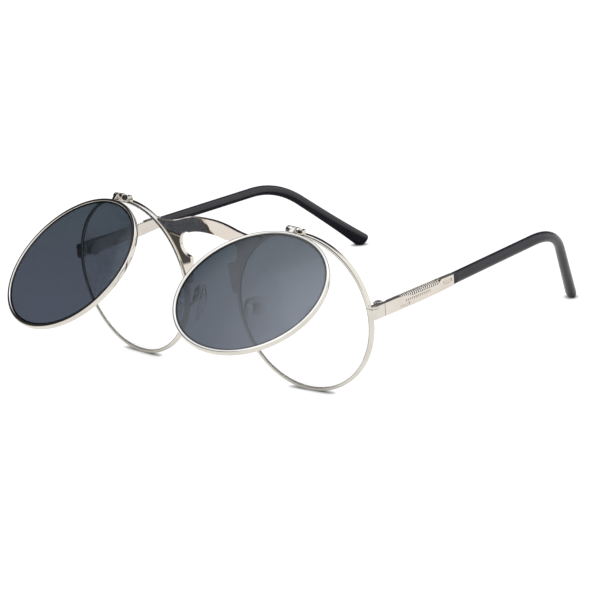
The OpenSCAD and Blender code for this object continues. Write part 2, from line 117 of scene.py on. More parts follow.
class Slot(Enum):
    """The finish slots of the solid model."""

    SILVER = "silver"
    DARK_STEEL = "dark_steel"
    STEEL = "steel"
    CLEAR = "clear_lens"
    TINTED = "tinted_lens"
    SILICONE = "silicone"
    BLACK = "black_plastic"


# Node trees and finishes


class Wiring:
    """A node tree that is wired in script."""

    def __init__(self, tree: bpy.types.NodeTree) -> None:
        """Takes the tree as it stands."""
        self.tree = tree

    def add(self, kind: str, operation: str | None = None, **inputs: object) -> bpy.types.Node:
        """Adds a node and fills its inputs.

        Args:
            kind: Type of the node.
            operation: What the node does, where its type leaves a choice.
            inputs: Plain values, or outputs to join. A key is the socket's name with underscores
                for spaces, or its number as i0, i1 and so on.

        Returns:
            The node.
        """
        node = self.tree.nodes.new(kind)
        if operation:
            node.operation = operation
        for key, value in inputs.items():
            socket = node.inputs[int(key[1:]) if key[1:].isdigit() else key.replace("_", " ")]
            if isinstance(value, Socket):
                self.tree.links.new(value, socket)
            else:
                socket.default_value = value
        return node

    def span(self, factor: Socket, ends: Sequence[float], levels: Sequence[float] = (0, 1)) -> Socket:
        """A value turned from one range into another.

        Args:
            factor: The value to read.
            ends: Where its range starts and ends.
            levels: What it is there.

        Returns:
            The new value.
        """
        return self.add(
            "ShaderNodeMapRange", Value=factor, From_Min=ends[0], From_Max=ends[1], To_Min=levels[0],
            To_Max=levels[1]).outputs[0]

    def ramp(self, factor: Socket, stops: Sequence[tuple[float, Sequence[float]]]) -> Socket:
        """Colours along a factor.

        Args:
            factor: The factor to read.
            stops: Places from 0 to 1 and their colours.

        Returns:
            The colour.
        """
        node = self.add("ShaderNodeValToRGB", Fac=factor)
        elements = node.color_ramp.elements
        while len(elements) < len(stops):
            elements.new(0.5)
        for element, (at, colour) in zip(elements, stops):
            element.position = at
            element.color = (*colour, 1)
        return node.outputs["Color"]

    def tint(self, factor: Socket, first: Socket, second: Sequence[float]) -> Socket:
        """A colour that goes from an output to a plain colour with a factor.

        Args:
            factor: Share of the plain colour.
            first: The output.
            second: The plain colour.

        Returns:
            The colour.
        """
        node = self.tree.nodes.new("ShaderNodeMix")
        node.data_type = "RGBA"
        self.tree.links.new(factor, node.inputs[0])
        self.tree.links.new(first, node.inputs[6])
        node.inputs[7].default_value = (*second, 1)
        return node.outputs[2]

    def by_ray(self, matt: bpy.types.Node, mirror: bpy.types.Node, eye: bpy.types.Node, end: str) -> None:
        """Ends the tree with a surface that differs by who looks at it.

        Args:
            matt: What matt surfaces are lit by.
            mirror: What mirrors show.
            eye: What the camera sees, also through a lens.
            end: Type of the output node.
        """
        path = self.add("ShaderNodeLightPath").outputs
        seen = self.add("ShaderNodeMath", "MAXIMUM", i0=path["Is Camera Ray"], i1=path["Is Transmission Ray"])
        unseen = self.add(
            "ShaderNodeMixShader", i0=path["Is Glossy Ray"], i1=matt.outputs[0], i2=mirror.outputs[0])
        both = self.add("ShaderNodeMixShader", i0=seen.outputs[0], i1=unseen.outputs[0], i2=eye.outputs[0])
        self.add(end, i0=both.outputs[0])


class Shader(Wiring):
    """One material around a single surface shader."""

    def __init__(self, name: str) -> None:
        """Starts the material.

        Args:
            name: Its name.
        """
        self.material = bpy.data.materials.new(name)
        self.material.use_nodes = True
        super().__init__(self.material.node_tree)
        self.surface = self.tree.nodes["Principled BSDF"]
        self.place = self.add("ShaderNodeTexCoord").outputs["Object"]

    def set(self, **values: object) -> None:
        """Sets plain values on the surface shader's sockets, named with underscores for spaces."""
        for name, value in values.items():
            self.surface.inputs[name.replace("_", " ")].default_value = value

    def link(self, source: Socket, socket: str) -> None:
        """Joins an output to one of the surface shader's sockets."""
        self.tree.links.new(source, self.surface.inputs[socket])

    def noise(self, size: float, detail: float = 3.0, stretch: Sequence[float] = (1, 1, 1)) -> Socket:
        """Cloudy variation through the piece.

        Args:
            size: Size of one patch, in millimetres.
            detail: Octaves of finer variation.
            stretch: Scale along each axis.

        Returns:
            The noise's factor, 0 to 1.
        """
        place = self.add("ShaderNodeMapping", Vector=self.place, Scale=stretch).outputs["Vector"]
        clouds = self.add("ShaderNodeTexNoise", Vector=place, Scale=1 / (size * MM), Detail=detail)
        return clouds.outputs["Fac"]

    def height(self, low: float, high: float) -> Socket:
        """A ramp from 0 at a low place above the table to 1 at a high one, in millimetres."""
        up = self.add("ShaderNodeSeparateXYZ", i0=self.place).outputs["Z"]
        return self.span(up, (low * MM, high * MM))

    def across(self, start: float, end: float) -> Socket:
        """A 0 to 1 ramp over part of the piece's own UV map, between two shares of its radius."""
        split = self.add("ShaderNodeSeparateXYZ", i0=self.add("ShaderNodeUVMap").outputs[0])
        return self.span(split.outputs["X"], (start, end))

    def level(self, factor: Socket, low: float, high: float) -> Socket:
        """The middle range of a noise turned into values from low to high."""
        return self.span(factor, (0.3, 0.7), (low, high))

    def bump(self, factor: Socket, depth: float) -> None:
        """Fine relief on the surface, of a depth in millimetres."""
        node = self.add("ShaderNodeBump", Distance=depth * MM, Strength=1.0, Height=factor)
        self.link(node.outputs["Normal"], "Normal")


@dataclass(frozen=True)
class PolishedMetal:
    """Plated wire and sheet, buffed, with faint smears and hairlines.

    Its colour goes to its shade in clouds. Its roughness goes from smooth to smear.
    """

    name: str
    colour: tuple[float, float, float] = (0.79, 0.76, 0.7)
    shade: tuple[float, float, float] = (0.72, 0.685, 0.625)
    smooth: float = 0.03
    smear: float = 0.09
    grain: tuple[float, float, float] = (1, 1, 1)
    relief: float = 0.002

    def make(self) -> Material:
        """Builds the material.

        Returns:
            The material.
        """
        shader = Shader(self.name)
        shader.set(Metallic=1.0)
        shader.link(shader.ramp(shader.noise(9, 4), [(0.35, self.shade), (0.65, self.colour)]), "Base Color")
        shader.link(shader.level(shader.noise(4, 5), self.smooth, self.smear), "Roughness")
        shader.bump(shader.noise(0.5, 2, self.grain), self.relief)
        return shader.material


@dataclass(frozen=True)
class LensPlastic:
    """Lens material: its tint, graded from its top to its bottom by a painted sheen, with a darker band at
    the edge painted as shade of the rim's groove.
    """

    name: str
    top: tuple[float, float, float]
    bottom: tuple[float, float, float]
    # Heights of the bottom and the top colour, which differ by a painted sheen, and the share of the radius
    # where the painted shade of the rim's groove begins
    span: tuple[float, float] = (0, 52)
    # The edge colour is painted shade of the rim's groove; the blur softens where it starts
    edge: tuple[float, float, float] = (0.5, 0.5, 0.5)
    edge_shade_from: float = 0.985
    edge_shade_blur: float = 0.006
    ior: float = 1.5

    def make(self) -> Material:
        """Builds the material.

        Returns:
            The material.
        """
        shader = Shader(self.name)
        shader.set(Transmission_Weight=1.0, IOR=self.ior)
        # Painted sheen: the tint goes from its bottom colour to its top colour with height
        body = shader.ramp(shader.height(*self.span), [(0, self.bottom), (1, self.top)])
        # Painted shade of the rim's groove: the edge colour in a band round the lens
        painted_edge_shade = shader.across(self.edge_shade_from, self.edge_shade_from + self.edge_shade_blur)
        shader.link(shader.tint(painted_edge_shade, body, self.edge), "Base Color")
        shader.link(shader.level(shader.noise(14, 2), 0.0, 0.02), "Roughness")
        return shader.material


@dataclass(frozen=True)
class SoftSilicone:
    """Clear, slightly milky silicone."""

    name: str

    def make(self) -> Material:
        """Builds the material.

        Returns:
            The material.
        """
        shader = Shader(self.name)
        shader.set(Transmission_Weight=0.93, IOR=1.41)
        clouds = [(0.3, (0.93, 0.93, 0.94)), (0.7, (0.98, 0.98, 0.985))]
        shader.link(shader.ramp(shader.noise(3, 3), clouds), "Base Color")
        shader.link(shader.level(shader.noise(1.5, 4), 0.08, 0.2), "Roughness")
        shader.bump(shader.noise(0.4, 2), 0.006)
        return shader.material


@dataclass(frozen=True)
class GlossBlack:
    """Moulded black plastic, polished, with faint flow lines along it."""

    name: str

    def make(self) -> Material:
        """Builds the material.

        Returns:
            The material.
        """
        shader = Shader(self.name)
        shader.set(IOR=1.46, Coat_Weight=0.15, Coat_Roughness=0.08)
        clouds = [(0.3, (0.009, 0.0075, 0.0135)), (0.7, (0.015, 0.013, 0.0215))]
        shader.link(shader.ramp(shader.noise(6, 4), clouds), "Base Color")
        shader.link(shader.level(shader.noise(2.5, 4, (1, 0.3, 1)), 0.24, 0.36), "Roughness")
        shader.bump(shader.noise(0.8, 3), 0.006)
        return shader.material


@dataclass
class Finishes:
    """Every finish of the glasses, made once."""

    silver: Material = field(default_factory=PolishedMetal("silver").make)
    drawn_silver: Material = field(default_factory=PolishedMetal(
        "drawn_silver", (0.8, 0.79, 0.72), (0.72, 0.7, 0.63), 0.52, 0.62, relief=0.004).make)
    bridge_silver: Material = field(default_factory=PolishedMetal(
        "bridge_silver", (0.82, 0.75, 0.685), (0.77, 0.7, 0.635), 0.015, 0.05, relief=0.0008).make)
    bar_silver: Material = field(default_factory=PolishedMetal(
        "bar_silver", (0.83, 0.775, 0.71), (0.76, 0.7, 0.635), 0.07, 0.15, (1, 0.15, 1)).make)
    spring_steel: Material = field(default_factory=PolishedMetal(
        "spring_steel", (0.92, 0.9, 0.87), (0.84, 0.81, 0.77), 0.12, 0.24).make)
    screw_steel: Material = field(default_factory=PolishedMetal(
        "screw_steel", (0.42, 0.4, 0.38), (0.3, 0.29, 0.275), 0.16, 0.3, (1, 6, 1), 0.004).make)
    pin_black: Material = field(default_factory=PolishedMetal(
        "pin_black", (0.06, 0.058, 0.055), (0.035, 0.034, 0.033), 0.2, 0.34).make)
    # The lenses' top and bottom colours differ by a painted sheen, and their edge colours are painted shade
    # of the rim's groove
    clear: Material = field(default_factory=LensPlastic(
        "clear_plastic", top=(0.992, 0.995, 0.995), bottom=(0.985, 0.99, 0.992),
        edge=(0.86, 0.86, 0.83)).make)
    tinted: Material = field(default_factory=LensPlastic(
        "tinted_plastic", top=(0.056, 0.073, 0.09), bottom=(0.07, 0.083, 0.112), span=(28, 53),
        edge=(0.0, 0.0, 0.0), edge_shade_from=0.968, ior=1.67).make)
    silicone: Material = field(default_factory=SoftSilicone("silicone").make)
    black: Material = field(default_factory=GlossBlack("gloss_black").make)


# Meshes


def smooth(mesh: bpy.types.Mesh, angle: float) -> None:
    """Shades a mesh smooth, except at its sharp edges.

    Args:
        mesh: The mesh.
        angle: Edges that turn more than this, in degrees, stay sharp.
    """
    mesh.polygons.foreach_set("use_smooth", [True] * len(mesh.polygons))
    mesh.set_sharp_from_angle(angle=math.radians(angle))


def put(name: str, mesh: bpy.types.Mesh, finish: Material) -> bpy.types.Object:
    """Makes a piece of a mesh and gives it its finish.

    Args:
        name: Name of the piece.
        mesh: Its mesh.
        finish: Its material.

    Returns:
        The piece.
    """
    mesh.materials.clear()
    mesh.materials.append(finish)
    piece = bpy.data.objects.new(name, mesh)
    bpy.context.scene.collection.objects.link(piece)
    return piece


def seat(piece: bpy.types.Object, stands_for: str, body: str, slot: Slot) -> None:
    """Seats a finished piece and reports it.

    Args:
        piece: The piece.
        stands_for: The solid it takes the place of.
        body: The body it rides on.
        slot: The piece's finish slot; not used.
    """
    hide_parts(stands_for)
    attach(piece, body)
    LOG.info("%s: %d faces, rides on %s", piece.name, len(piece.data.polygons), body)


def mesh_of(
        points: Sequence[Vector], faces: Sequence[Sequence[int]], name: str, angle: float) -> bpy.types.Mesh:
    """A smooth mesh from points in millimetres, with its faces turned outwards.

    Args:
        points: The points.
        faces: Point numbers of each face.
        name: Name of the mesh.
        angle: Edges that turn more than this, in degrees, stay sharp.

    Returns:
        The mesh, in metres.
    """
    mesh = bpy.data.meshes.new(name)
    mesh.from_pydata([p * MM for p in points], [], faces)
    bm = bmesh.new()
    bm.from_mesh(mesh)
    bmesh.ops.remove_doubles(bm, verts=bm.verts, dist=DRAWN_WELD)
    bmesh.ops.recalc_face_normals(bm, faces=bm.faces)
    bm.to_mesh(mesh)
    bm.free()
    smooth(mesh, angle)
    return mesh


def copy_of(node: str, drop: Callable[[bmesh.types.BMFace], bool] | None = None) -> bpy.types.Mesh:
    """A copy of a solid's mesh, with its loose triangles joined into flat faces.

    Args:
        node: The solid.
        drop: Says which faces are left out; the holes they leave are filled.

    Returns:
        The mesh.
    """
    mesh = bpy.data.objects[node].data.copy()
    bm = bmesh.new()
    bm.from_mesh(mesh)
    bmesh.ops.remove_doubles(bm, verts=bm.verts, dist=SOLID_WELD)
    if drop:
        bmesh.ops.delete(bm, geom=[face for face in bm.faces if drop(face)], context="FACES")
        bmesh.ops.holes_fill(bm, edges=[edge for edge in bm.edges if edge.is_boundary])
    bmesh.ops.dissolve_limit(
        bm, angle_limit=math.radians(FLAT), verts=bm.verts, edges=bm.edges, delimit={"NORMAL"})
    bmesh.ops.recalc_face_normals(bm, faces=bm.faces)
    bm.to_mesh(mesh)
    bm.free()
    smooth(mesh, SHARP)
    return mesh


def loft(
        rings: Sequence[Sequence[Vector]], name: str, angle: float,
        round_way: bool = False) -> bpy.types.Mesh:
    """Skin over rings of equal size.

    Args:
        rings: The rings, each a closed loop of points.
        name: Name of the mesh.
        angle: Edges that turn more than this, in degrees, stay sharp.
        round_way: Whether the last ring joins the first. If not, both are filled.

    Returns:
        The mesh.
    """
    sides, count = len(rings[0]), len(rings)
    points = [p for ring in rings for p in ring]
    faces = []
    for i in range(count if round_way else count - 1):
        here, there = i * sides, (i + 1) % count * sides
        for k in range(sides):
            after = (k + 1) % sides
            faces.append((here + k, here + after, there + after, there + k))
    if not round_way:
        faces.append(tuple(reversed(range(sides))))
        faces.append(tuple(range((count - 1) * sides, count * sides)))
    return mesh_of(points, faces, name, angle)


def sweep(
        line: Sequence[Vector], across: Vector, half_sizes: Sequence[tuple[float, float]],
        sides: int) -> list[list[Vector]]:
    """Oval sections along a line.

    Args:
        line: Points of the line.
        across: Where a section's first half size points, as nearly as the line allows.
        half_sizes: Both half sizes at each point.
        sides: Points of a section.

    Returns:
        The sections.
    """
    rings = []
    angles = [math.tau * k / sides for k in range(sides)]
    for i, (p, (a, b)) in enumerate(zip(line, half_sizes)):
        along = (line[min(i + 1, len(line) - 1)] - line[max(i - 1, 0)]).normalized()
        side_way = (across - along * across.dot(along)).normalized()
        up_way = side_way.cross(along)
        rings.append([p + side_way * a * math.cos(t) + up_way * b * math.sin(t) for t in angles])
    return rings


def turned(degrees: float, axis: str) -> Matrix:
    """A turn about an axis."""
    return Matrix.Rotation(math.radians(degrees), 4, axis)


class GeometryRecipe(Wiring):
    """A Geometry Nodes tree with named sizes, run once and kept as a plain mesh."""

    def __init__(self, name: str, sizes: dict[str, float]) -> None:
        """Starts the tree.

        Args:
            name: Name of the tree.
            sizes: Its inputs and their values.
        """
        super().__init__(bpy.data.node_groups.new(name, "GeometryNodeTree"))
        self.sizes = sizes
        sockets = self.tree.interface
        for key, value in sizes.items():
            sockets.new_socket(key, in_out="INPUT", socket_type="NodeSocketFloat").default_value = value
        sockets.new_socket("Finish", in_out="INPUT", socket_type="NodeSocketMaterial")
        sockets.new_socket("Geometry", in_out="OUTPUT", socket_type="NodeSocketGeometry")
        self.entry = self.add("NodeGroupInput").outputs

    def end(self, geometry: Socket) -> None:
        """Ends the tree: real copies, and the finish.

        Args:
            geometry: What the tree has made.
        """
        real = self.add("GeometryNodeRealizeInstances", Geometry=geometry)
        dressed = self.add("GeometryNodeSetMaterial", Geometry=real.outputs[0], Material=self.entry["Finish"])
        self.add("NodeGroupOutput", i0=dressed.outputs[0])

    def run(self, name: str, finish: Material, place: Matrix) -> bpy.types.Mesh:
        """Evaluates the tree once.

        Args:
            name: Name of the mesh.
            finish: Material for its faces.
            place: Where it goes, in metres.

        Returns:
            The plain mesh, in place.
        """
        holder = bpy.data.objects.new(name + "_recipe", bpy.data.meshes.new(name + "_recipe"))
        bpy.context.scene.collection.objects.link(holder)
        modifier = holder.modifiers.new("recipe", "NODES")
        modifier.node_group = self.tree
        for item in self.tree.interface.items_tree:
            if item.in_out == "INPUT":
                modifier[item.identifier] = finish if item.name == "Finish" else float(self.sizes[item.name])
        evaluated = holder.evaluated_get(bpy.context.evaluated_depsgraph_get())
        mesh = bpy.data.meshes.new_from_object(evaluated)
        mesh.name = name
        mesh.transform(place)
        if place.determinant() < 0:
            mesh.flip_normals()
        bpy.data.objects.remove(holder)
        return mesh


# Places


@dataclass(frozen=True)
class Frames:
    """Places that several pieces share, as the solid model has them."""

    # The front: fixed rims, their lean and wrap in degrees, and the wire's width and depth
    front_y: float = -40.1
    rim_r: float = 26.0
    lens_x: float = 37.0
    tilt: float = 1.7
    wrap: float = 5.0
    wire_w: float = 1.1
    wire_d: float = 1.8
    # The raised rims and the axis of their hinge, above and before the fixed rim
    flip_r: float = 25.2
    flip_up: float = 1.35
    flip_fwd: float = 1.6
    flip_turn: float = 4.0
    # The sides
    side_z: float = 29.35
    bar_x: float = 63.65
    tip_x: float = 63.25
    tip_z: float = 29.7

    def lens(self) -> Matrix:
        """Frame of the fixed rim on the wearer's left."""
        middle = Vector((self.lens_x, self.front_y, self.rim_r * math.cos(math.radians(self.tilt))))
        return Matrix.Translation(middle) @ turned(self.wrap, "Z") @ turned(self.tilt, "X")

    def raised(self, lift: float) -> Matrix:
        """Frame of the raised rim on the wearer's left.

        Args:
            lift: How far it is raised, in degrees.

        Returns:
            The frame, in millimetres.
        """
        reach = self.rim_r + self.flip_up
        a = math.radians(self.flip_turn)
        hinge = Matrix.Translation((reach * math.sin(a), -self.flip_fwd, reach * math.cos(a)))
        down = Matrix.Translation((0, -self.wire_d, -reach))
        return self.lens() @ hinge @ turned(self.flip_turn, "Y") @ turned(-lift, "X") @ down

    def mirrored(self, frame: Matrix, side: Side) -> Matrix:
        """A frame of the wearer's left, seen on the given side."""
        return frame if side is Side.LEFT else Matrix.Diagonal((-1, 1, 1, 1)) @ frame


FRAMES = Frames()


# Sub-assemblies


@dataclass
class Machined:
    """A metal piece taken from its solid, with its edges broken as they are by polishing."""

    node: str
    body: str
    finish: Material
    edge: float
    slot: Slot = Slot.SILVER
    steps: int = 2

    def build(self) -> None:
        """Makes the piece: flat faces that mirror flat, and rounded edges between them."""
        piece = put(self.node + "_dressed", copy_of(self.node), self.finish)
        bevel = piece.modifiers.new("edge", "BEVEL")
        bevel.width = self.edge * MM
        bevel.segments = self.steps
        bevel.limit_method = "ANGLE"
        bevel.angle_limit = math.radians(SHARP)
        bevel.use_clamp_overlap = True
        level = piece.modifiers.new("level", "WEIGHTED_NORMAL")
        level.weight = 100
        evaluated = piece.evaluated_get(bpy.context.evaluated_depsgraph_get())
        shaped = bpy.data.meshes.new_from_object(evaluated)
        piece.modifiers.clear()
        piece.data = shaped
        seat(piece, self.node, self.body, self.slot)


@dataclass
class WireRim:
    """A round wire rim: its section swept round the lens."""

    radius: float
    name: str
    frame: Matrix
    cut_at: float | None = None
    cut_gap: float = 0.15
    steps: int = 256
    # Finish of the side towards the lens, where it differs
    groove: Material | None = None
    corner: float = 0.34
    corner_steps: int = 4
    groove_deep: float = 0.4
    groove_half: float = 0.36
    drawn_edge: float = 0.16

    def section(self) -> list[tuple[float, float]]:
        """The wire's section, with rounded corners and the lens groove.

        Returns:
            Its points: radius and depth.
        """
        inner, middle = self.radius - FRAMES.wire_w, FRAMES.wire_d / 2
        near, far = inner + self.corner, self.radius - self.corner
        front, back = self.corner, FRAMES.wire_d - self.corner
        points = []
        for r, y, start in ((near, front, 180), (far, front, 270), (far, back, 0), (near, back, 90)):
            for k in range(self.corner_steps + 1):
                a = math.radians(start + 90 * k / self.corner_steps)
                points.append((r + self.corner * math.cos(a), y + self.corner * math.sin(a)))
        points.append((inner, middle + self.groove_half))
        points.append((inner + self.groove_deep, middle))
        points.append((inner, middle - self.groove_half))
        return points

    def rings(self) -> list[list[Vector]]:
        """The section at each step round the rim, from one side of the cut to the other.

        Returns:
            The sections.
        """
        start, sweep, count = 0.0, 360.0, self.steps
        if self.cut_at is not None:
            gap = math.degrees(self.cut_gap / self.radius)
            start, sweep, count = self.cut_at + gap / 2, 360 - gap, self.steps + 1
        section, rings = self.section(), []
        for i in range(count):
            a = math.radians(start + sweep * i / self.steps)
            rings.append([self.frame @ Vector((r * math.cos(a), y, r * math.sin(a))) for r, y in section])
        return rings

    def build(self, finish: Material) -> bpy.types.Object:
        """The rim, with its own finish on the side towards the lens if it has one.

        Args:
            finish: Its material.

        Returns:
            The piece.
        """
        mesh = loft(self.rings(), self.name, 50, self.cut_at is None)
        piece = put(self.name, mesh, finish)
        if self.groove:
            way = self.frame.inverted()
            mesh.materials.append(self.groove)
            for face in mesh.polygons:
                place = way @ (face.center / MM)
                inner = math.hypot(place.x, place.z) < self.radius - FRAMES.wire_w + self.drawn_edge
                face.material_index = int(inner)
        return piece


@dataclass
class LensDisc:
    """A curved lens with a bevelled edge, in fine rings so that it mirrors smoothly."""

    radius: float
    thick: float
    name: str
    frame: Matrix
    curve: float = 180.0
    play: float = 0.03
    bevel: float = 0.3
    rings: int = 20
    steps: int = 160

    def outline(self) -> list[tuple[float, float]]:
        """The outline, from the middle of the front face over the bevelled edge to that of the back.

        Returns:
            Its points: radius and depth.
        """
        edge = self.radius - FRAMES.wire_w - self.play
        middle = FRAMES.wire_d / 2
        rise = math.sqrt(self.curve ** 2 - edge ** 2)
        faces = []
        for way in (1, -1):
            ball = self.curve + way * self.thick / 2
            across = [edge * k / self.rings for k in range(self.rings + 1)]
            faces.append([(r, middle + rise - math.sqrt(ball ** 2 - r ** 2)) for r in across])
        return faces[0] + [(edge + self.bevel, middle)] + faces[1][::-1]

    def build(self, finish: Material) -> bpy.types.Object:
        """The lens, with its distance from the middle as a UV map.

        Args:
            finish: Its material.

        Returns:
            The piece.
        """
        outline = self.outline()
        points, faces = [], []
        for r, y in outline:
            for i in range(self.steps):
                a = math.tau * i / self.steps
                points.append(self.frame @ Vector((r * math.cos(a), y, r * math.sin(a))))
        for j in range(len(outline) - 1):
            here, there = j * self.steps, (j + 1) * self.steps
            for i in range(self.steps):
                k = (i + 1) % self.steps
                faces.append((here + i, here + k, there + k, there + i))
        mesh = mesh_of(points, faces, self.name, 30)
        way = self.frame.inverted()
        rim = max(r for r, y in outline)
        uv = mesh.uv_layers.new(name="across")
        for loop in mesh.loops:
            place = way @ (mesh.vertices[loop.vertex_index].co / MM)
            uv.data[loop.index].uv = (math.hypot(place.x, place.z) / rim, 0.5 + place.y / 10)
        return put(self.name, mesh, finish)


@dataclass
class Eye:
    """One fixed rim with its clear lens, closing block, screw, end piece, pad box and hinge base."""

    side: Side
    finishes: Finishes
    cut_at: float = 10.6
    lens_thick: float = 1.5

    def build(self) -> None:
        """Makes and dresses everything of this eye that sits on the front."""
        node, made = self.side.node, self.finishes
        frame = FRAMES.mirrored(FRAMES.lens(), self.side)
        rim = WireRim(FRAMES.rim_r, node("rim_wire"), frame, self.cut_at, groove=made.drawn_silver)
        wire = rim.build(made.silver)
        block = self.closing_block(frame.inverted())
        block.parent = wire
        seat(wire, node("rim"), "front", Slot.SILVER)
        lens = LensDisc(FRAMES.rim_r, self.lens_thick, node("clear_lens_disc"), frame).build(made.clear)
        seat(lens, node("clear_lens"), "front", Slot.CLEAR)
        for part, finish, edge, slot in (
            ("end_piece", made.silver, 0.12, Slot.SILVER),
            ("rim_screw", made.screw_steel, 0.04, Slot.DARK_STEEL),
            ("flip_base", made.silver, 0.12, Slot.SILVER),
            ("flip_pin", made.pin_black, 0.1, Slot.DARK_STEEL),
            ("pad_box", made.silver, 0.12, Slot.SILVER),
            ("pad_screw", made.spring_steel, 0.05, Slot.STEEL),
        ):
            Machined(node(part), "front", finish, edge, slot).build()

    def closing_block(self, way: Matrix) -> bpy.types.Object:
        """The block on the upper end of the cut rim: what of the rim's solid lies outside its wire.

        Args:
            way: Takes a place to the rim's own frame.

        Returns:
            The block.
        """
        def in_wire(face: bmesh.types.BMFace) -> bool:
            """Whether a face belongs to the wire itself."""
            places = [way @ (vert.co / MM) for vert in face.verts]
            return all(math.hypot(place.x, place.z) <= FRAMES.rim_r + 0.02 for place in places)

        mesh = copy_of(self.side.node("rim"), drop=in_wire)
        return put(self.side.node("closing_block"), mesh, self.finishes.silver)


@dataclass
class FlipUp:
    """One raised rim with its tinted lens and hinge leaf."""

    side: Side
    lift: float
    finishes: Finishes
    lens_thick: float = 1.2

    def build(self) -> None:
        """Makes and dresses the raised pieces."""
        node, made = self.side.node, self.finishes
        body = node("flip")
        frame = FRAMES.mirrored(FRAMES.raised(self.lift), self.side)
        wire = WireRim(FRAMES.flip_r, node("flip_wire"), frame).build(made.silver)
        seat(wire, node("flip_rim"), body, Slot.SILVER)
        lens = LensDisc(FRAMES.flip_r, self.lens_thick, node("tinted_lens_disc"), frame).build(made.tinted)
        seat(lens, node("tinted_lens"), body, Slot.TINTED)
        Machined(node("flip_leaf"), body, made.silver, 0.12).build()


@dataclass
class CoilSpring:
    """The open coil spring in the tray of a bar."""

    turns: int = 20
    coil_r: float = 0.635
    wire: float = 0.45
    tray: tuple[float, float] = (15.3, 34.2)
    tray_up: float = 1.24
    end_gap: float = 0.1

    def recipe(self) -> GeometryRecipe:
        """A spiral swept by a round section.

        Returns:
            The recipe.
        """
        made = GeometryRecipe("coil_spring", {
            "Turns": self.turns,
            "Coil radius": self.coil_r * MM,
            "Length": (self.tray[1] - self.tray[0] - self.wire - 2 * self.end_gap) * MM,
            "Wire radius": self.wire / 2 * MM,
        })
        size = made.entry
        spiral = made.add(
            "GeometryNodeCurveSpiral", Resolution=24, Rotations=size["Turns"],
            Start_Radius=size["Coil radius"], End_Radius=size["Coil radius"], Height=size["Length"])
        section = made.add("GeometryNodeCurvePrimitiveCircle", Resolution=12, Radius=size["Wire radius"])
        swept = made.add(
            "GeometryNodeCurveToMesh", Curve=spiral.outputs[0], Profile_Curve=section.outputs[0],
            Fill_Caps=True)
        made.end(swept.outputs[0])
        return made

    def build(self, side: Side, finish: Material) -> bpy.types.Object:
        """The spring, lying along its bar.

        Args:
            side: Which bar.
            finish: Its material.

        Returns:
            The piece.
        """
        front = FRAMES.front_y + self.tray[0] + self.wire / 2 + self.end_gap
        start = Vector((FRAMES.bar_x, front, FRAMES.side_z + self.tray_up))
        place = FRAMES.mirrored(Matrix.Translation(start * MM) @ turned(-90, "X"), side)
        mesh = self.recipe().run(side.node("coil"), finish, place)
        smooth(mesh, 60)
        return put(side.node("coil"), mesh, finish)


@dataclass
class Tip:
    """A black plastic tip: a round sleeve over the bar's end, a bend behind the ear and a paddle."""

    # Corner of the bend and end of the middle line, then the sizes at the start, the bend and the end
    bend: tuple[float, float, float]
    end: tuple[float, float, float]
    wide: tuple[float, float, float] = (3.7, 3.55, 5.7)
    thick: tuple[float, float, float] = (2.9, 3.05, 3.5)
    thin_way: tuple[float, float, float] = (0.64, 0.69, 0.35)
    flare: float = 3.2
    cap: float = 1.7
    bend_round: float = 12.0
    mouth: float = 0.86
    mouth_deep: float = 0.16
    bar_end: float = 40.3
    sides: int = 40

    def line(self) -> list[Vector]:
        """Middle line of the tip on the wearer's left, measured from the front.

        Returns:
            Its points.
        """
        bend, end = Vector(self.bend), Vector(self.end)
        start = Vector((FRAMES.tip_x, self.bar_end + 0.03, FRAMES.tip_z))
        into = bend + (start - bend).normalized() * self.bend_round
        out = bend + (end - bend).normalized() * self.bend_round
        cap = end + (bend - end).normalized() * self.cap
        points = [start.lerp(into, i / 18) for i in range(18)]
        for i in range(33):
            t = i / 32
            points.append(into * (1 - t) ** 2 + bend * 2 * t * (1 - t) + out * t ** 2)
        points += [out.lerp(cap, i / 24) for i in range(1, 25)]
        points += [cap.lerp(end, math.sin(math.pi / 2 * i / 16)) for i in range(1, 17)]
        return points

    def half_sizes(self, p: Vector) -> tuple[float, float]:
        """Half thickness and half width at a point of the middle line.

        Args:
            p: The point.

        Returns:
            The two half sizes.
        """
        bend, end = Vector(self.bend), Vector(self.end)
        early = max(0.0, min(1.0, (p.y - self.bar_end) / (bend.y - self.bar_end)))
        drop = max(0.0, min(1.0, (bend.z - p.z) / (bend.z - end.z)))
        left = (end - p).length
        cap = max(0.004, 1 - (1 - left / self.cap) ** 3) ** (1 / 3) if left < self.cap else 1.0
        (a, b, c), (d, e, f) = self.thick, self.wide
        thick = a + (b - a) * early + (c - b) * drop
        wide = d + (e - d) * early + (f - e) * drop ** self.flare
        return thick * cap / 2, wide * cap / 2

    def build(self, side: Side, finish: Material) -> bpy.types.Object:
        """The tip, with its sleeve's mouth slightly rounded.

        Args:
            side: Which side.
            finish: Its material.

        Returns:
            The piece.
        """
        line = self.line()
        rings = sweep(line, Vector(self.thin_way), [self.half_sizes(p) for p in line], self.sides)
        mouth = [line[0] + (q - line[0]) * self.mouth for q in rings[0]]
        rings[0] = [q + Vector((0, self.mouth_deep, 0)) for q in rings[0]]
        placed = []
        for ring in [mouth] + rings:
            placed.append([Vector((q.x * side.value, q.y + FRAMES.front_y, max(q.z, 0.0))) for q in ring])
        return put(side.node("tip"), loft(placed, side.node("tip"), 60), finish)


@dataclass
class SideArm:
    """One folding side: bar, hinge screw, spring on its rod, and black tip."""

    side: Side
    tip: Tip
    finishes: Finishes

    def build(self) -> None:
        """Makes and dresses the side."""
        node, made = self.side.node, self.finishes
        body = node("side")
        Machined(node("side_bar"), body, made.bar_silver, 0.1).build()
        Machined(node("side_screw"), body, made.spring_steel, 0.05, Slot.STEEL).build()
        Machined(node("spring_rod"), body, made.screw_steel, 0.05, Slot.DARK_STEEL).build()
        seat(CoilSpring().build(self.side, made.spring_steel), node("spring"), body, Slot.STEEL)
        seat(self.tip.build(self.side, made.black), node("side_tip"), body, Slot.BLACK)


